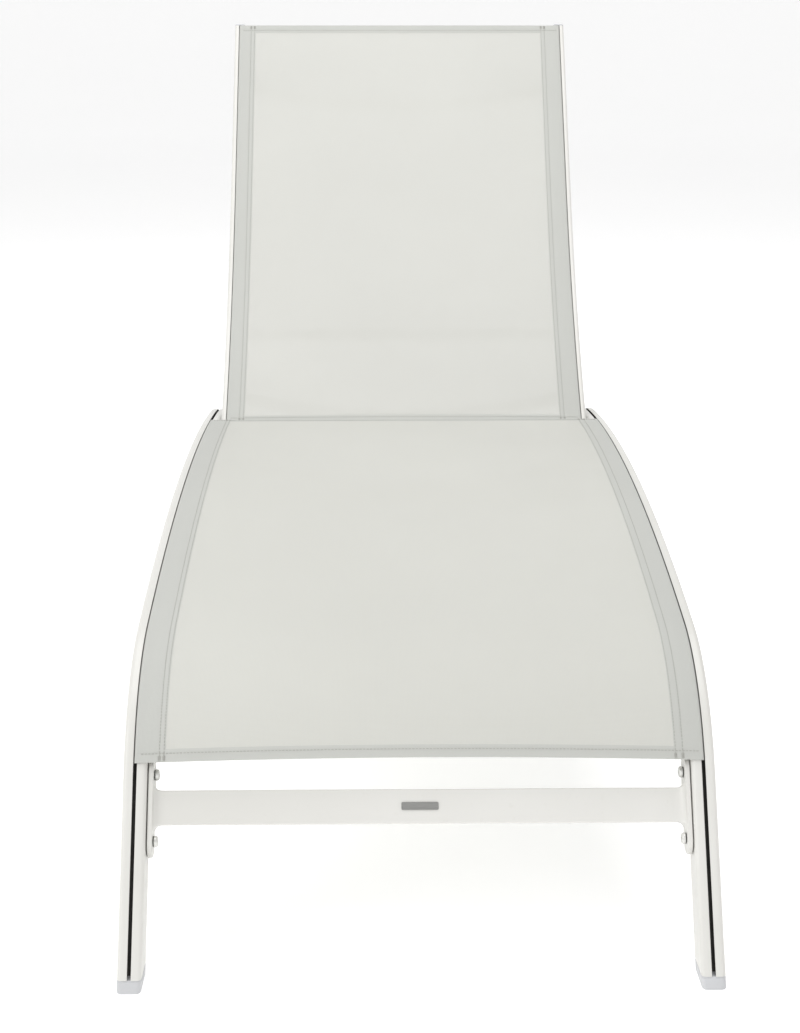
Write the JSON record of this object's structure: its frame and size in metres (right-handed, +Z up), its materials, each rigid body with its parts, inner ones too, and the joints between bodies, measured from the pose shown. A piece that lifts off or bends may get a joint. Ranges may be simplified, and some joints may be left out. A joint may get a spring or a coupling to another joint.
{
  "type": "reclining sun lounger",
  "caption": "Sling sun lounger with arched side rails that bend down into its legs and a curved backrest that reclines on a swinging prop.",
  "frame": {"origin": "middle of the footprint on the floor, under the middle of the overall box with the backrest at its upper position", "axes": "+X across to the right seen from the foot end, +Y from the foot end to the head end, +Z up"},
  "size_m": [0.64, 1.655, 0.9751],
  "materials": {
    "white_aluminium": "white satin powder coat on aluminium extrusions, tubes and castings",
    "sling": "off-white open-weave coated polyester sling cloth",
    "grey_plastic": "light grey moulded plastic",
    "nylon": "white nylon",
    "steel": "zinc plated steel, domed heads",
    "nameplate": "plain brushed plate",
    "keder": "white vinyl rod"
  },
  "bodies": {
    "frame": {"side_rail_left": "white_aluminium", "side_rail_right": "white_aluminium", "foot_cap_front_left": "grey_plastic", "foot_cap_front_right": "grey_plastic", "foot_cap_rear_left": "grey_plastic", "foot_cap_rear_right": "grey_plastic", "front_crossbar": "white_aluminium", "rear_crossbar": "white_aluminium", "crossbar_bolt_front_left_lower": "steel", "crossbar_bolt_front_left_upper": "steel", "crossbar_bolt_front_right_lower": "steel", "crossbar_bolt_front_right_upper": "steel", "crossbar_bolt_rear_left_lower": "steel", "crossbar_bolt_rear_left_upper": "steel", "crossbar_bolt_rear_right_lower": "steel", "crossbar_bolt_rear_right_upper": "steel", "nameplate": "nameplate", "seat_cross_tube": "white_aluminium", "seat_sling": "sling", "seat_spline_left": "keder", "seat_spline_right": "keder", "hinge_bolt_left": "steel", "hinge_bolt_right": "steel", "prop_washer_left": "nylon", "prop_washer_right": "nylon", "prop_bolt_left": "steel", "prop_bolt_right": "steel"},
    "backrest": {"backrest_rail_left": "white_aluminium", "backrest_rail_right": "white_aluminium", "backrest_cap_upper_left": "grey_plastic", "backrest_cap_upper_right": "grey_plastic", "backrest_cap_lower_left": "grey_plastic", "backrest_cap_lower_right": "grey_plastic", "backrest_cross_tube_lower": "white_aluminium", "backrest_cross_tube_upper": "white_aluminium", "backrest_sling": "sling", "backrest_spline_left": "keder", "backrest_spline_right": "keder", "adjusting_rack_left": "nylon", "adjusting_rack_right": "nylon", "rack_screw_left_1": "steel", "rack_screw_left_2": "steel", "rack_screw_right_1": "steel", "rack_screw_right_2": "steel", "hinge_bush_left": "nylon", "hinge_bush_right": "nylon"},
    "prop": {"prop_bar": "white_aluminium", "prop_arm_left": "white_aluminium", "prop_arm_right": "white_aluminium"}
  },
  "joints": [
    {"name": "backrest_recline", "type": "hinge", "parent": "frame", "child": "backrest", "pos_m": [0, 0.29454, 0.343], "axis": [1, 0, 0], "range_deg": [-45, 0]},
    {"name": "prop_swing", "type": "hinge", "parent": "frame", "child": "prop", "pos_m": [0, 0.53754, 0.27], "axis": [1, 0, 0], "range_deg": [-91.3, 0.1]}
  ],
  "couplings": [
    {"joint": "prop_swing", "follows": "backrest_recline", "ratio": 2.0261}
  ]
}
